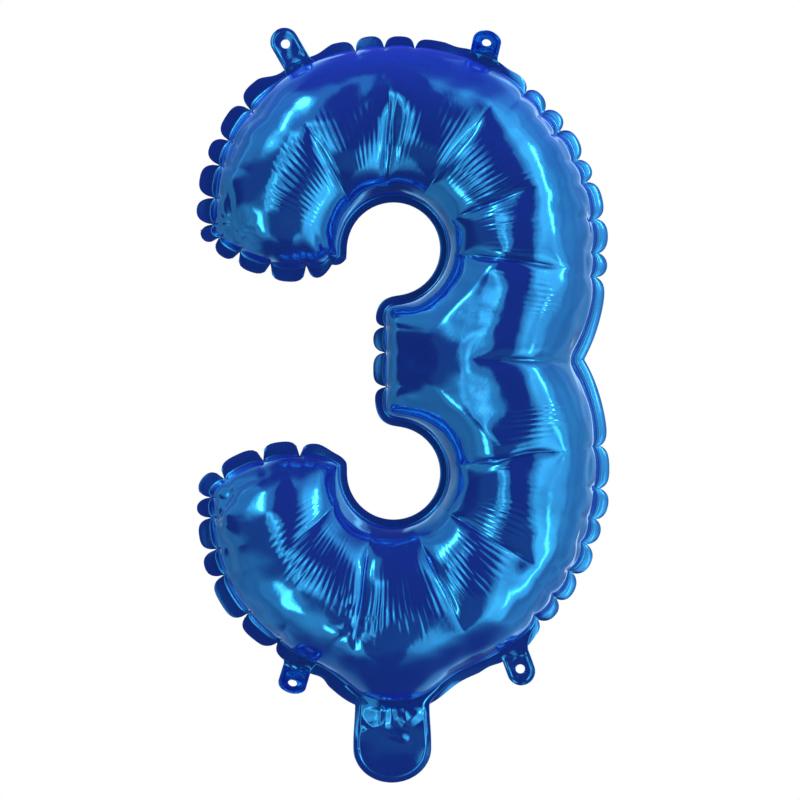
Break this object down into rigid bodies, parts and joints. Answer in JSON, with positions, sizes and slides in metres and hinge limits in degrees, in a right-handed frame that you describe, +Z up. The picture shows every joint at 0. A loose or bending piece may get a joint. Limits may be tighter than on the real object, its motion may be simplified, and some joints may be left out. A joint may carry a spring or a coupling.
{
  "type": "foil number balloon",
  "caption": "Air-filled metallic foil balloon in the shape of the digit three, with folding hang tabs round its seam and a filling tail with a self-sealing valve.",
  "frame": {"origin": "midway between the punched holes of the two top hang tabs, where the balloon is tied up", "axes": "+Z up along the digit's height, +X to the right as the digit is read, and the front faces -Y, across the two panels"},
  "size_m": [0.2254, 0.0748, 0.4106],
  "materials": {
    "panel_foil": "mirror-bright metallised blue film",
    "tab_foil": "mirror-bright metallised blue film, two plies welded flat",
    "tail_foil": "mirror-bright metallised blue film, slightly crumpled over the valve",
    "valve_film": "thin clear polythene"
  },
  "bodies": {
    "envelope": {"front_foil_panel": "panel_foil", "back_foil_panel": "panel_foil", "valve_front_film_upper": "valve_film", "valve_back_film_upper": "valve_film"},
    "top_left_tab": {"hang_tab_top_left": "tab_foil"},
    "top_right_tab": {"hang_tab_top_right": "tab_foil"},
    "bottom_left_tab": {"hang_tab_bottom_left": "tab_foil"},
    "bottom_right_tab": {"hang_tab_bottom_right": "tab_foil"},
    "tail": {"tail_front_ply": "tail_foil", "tail_back_ply": "tail_foil", "valve_front_film_lower": "valve_film", "valve_back_film_lower": "valve_film"}
  },
  "joints": [
    {"name": "top_left_tab_fold", "type": "hinge", "parent": "envelope", "child": "top_left_tab", "pos_m": [-0.0486, 0, -0.00992], "axis": [0.866, 0, 0.5], "range_deg": [-80, 80], "stiffness_Nm_per_rad": 0.0001},
    {"name": "top_right_tab_fold", "type": "hinge", "parent": "envelope", "child": "top_right_tab", "pos_m": [0.05344, 0, -0.0053], "axis": [0.9781, 0, -0.2079], "range_deg": [-132, 28], "stiffness_Nm_per_rad": 0.0001},
    {"name": "bottom_left_tab_fold", "type": "hinge", "parent": "envelope", "child": "bottom_left_tab", "pos_m": [-0.04823, 0, -0.33888], "axis": [-0.9613, 0, 0.2756], "range_deg": [-138, 22], "stiffness_Nm_per_rad": 0.0001},
    {"name": "bottom_right_tab_fold", "type": "hinge", "parent": "envelope", "child": "bottom_right_tab", "pos_m": [0.07036, 0, -0.33198], "axis": [-0.9397, 0, -0.342], "range_deg": [-80, 80], "stiffness_Nm_per_rad": 0.0001},
    {"name": "tail_fold", "type": "hinge", "parent": "envelope", "child": "tail", "pos_m": [0.0035, 0, -0.3598], "axis": [1, 0, 0], "range_deg": [-75, 75], "stiffness_Nm_per_rad": 0.0003}
  ]
}
